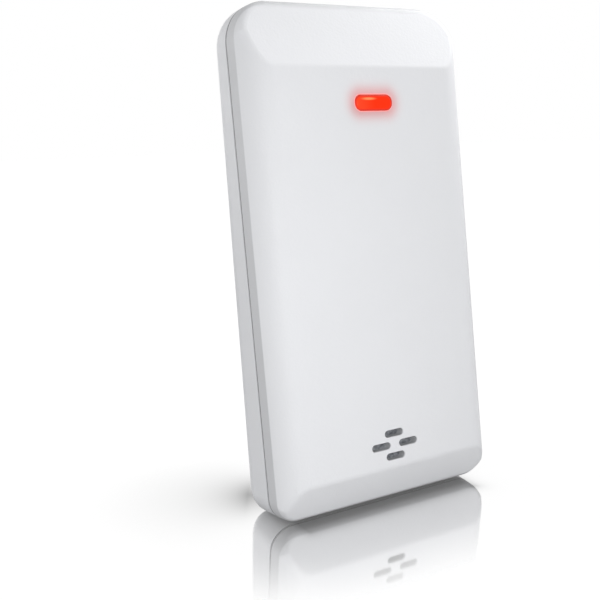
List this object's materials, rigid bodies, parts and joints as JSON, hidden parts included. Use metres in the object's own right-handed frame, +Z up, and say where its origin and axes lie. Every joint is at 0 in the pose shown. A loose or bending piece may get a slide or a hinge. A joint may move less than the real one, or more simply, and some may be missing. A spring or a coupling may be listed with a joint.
{
  "type": "wireless outdoor weather sensor",
  "caption": "Slim leaning weather sensor case with a faceted front, red status window, vent slots, battery cover, keyhole and fold-out desk stand.",
  "frame": {"origin": "middle of the footprint with the stand open, on the surface that the sensor stands on", "axes": "+X to the right seen from the front, +Y from the front to the back, +Z up"},
  "size_m": [0.05, 0.0256, 0.0971],
  "materials": {
    "housing": "fine matt grain",
    "screw": "zinc plated",
    "window": "clear red, polished",
    "lamp": "white package",
    "screen": "woven",
    "seal": "soft",
    "board": "solder mask",
    "chip": "moulded",
    "can": "tinned",
    "wire": "enamelled copper",
    "bead": "dipped resin",
    "cell": "plain sleeve",
    "contact": "nickel plated",
    "switch_body": "moulded",
    "lever": "moulded"
  },
  "bodies": {
    "case": {"front_shell": "housing", "rear_shell": "housing", "case_screws": "screw", "board_screws": "screw", "status_window": "window", "status_lamp": "lamp", "vent_screen": "screen", "case_seal": "seal", "main_board": "board", "processor_chip": "chip", "crystal": "can", "radio_module": "can", "antenna_wire": "wire", "humidity_sensor": "chip", "thermistor": "bead", "battery_left": "cell", "battery_right": "cell", "bridge_contact": "contact", "positive_contact": "contact", "negative_contact": "contact", "spring_left": "contact", "spring_right": "contact", "channel_switch": "switch_body", "reset_switch": "switch_body"},
    "cover": {"battery_cover": "housing", "cover_screw": "screw"},
    "stand": {"desk_stand": "housing"},
    "channel_slider": {"channel_lever": "lever"},
    "reset_plunger": {"reset_button": "lever"}
  },
  "joints": [
    {"name": "stand_fold", "type": "hinge", "parent": "case", "child": "stand", "pos_m": [0, 0.00478, 0.01669], "axis": [1, 0, 0], "range_deg": [-17.7, 0]},
    {"name": "battery_cover_tilt", "type": "hinge", "parent": "case", "child": "cover", "pos_m": [0, 0.00705, 0.02111], "axis": [-1, 0, 0], "range_deg": [0, 35]},
    {"name": "channel_slide", "type": "slide", "parent": "case", "child": "channel_slider", "axis": [1, 0, 0], "range_m": [-0.002, 0.002]},
    {"name": "reset_press", "type": "slide", "parent": "case", "child": "reset_plunger", "axis": [0, -0.9927, 0.121], "range_m": [0, 0.00025], "stiffness_N_per_m": 2000}
  ]
}
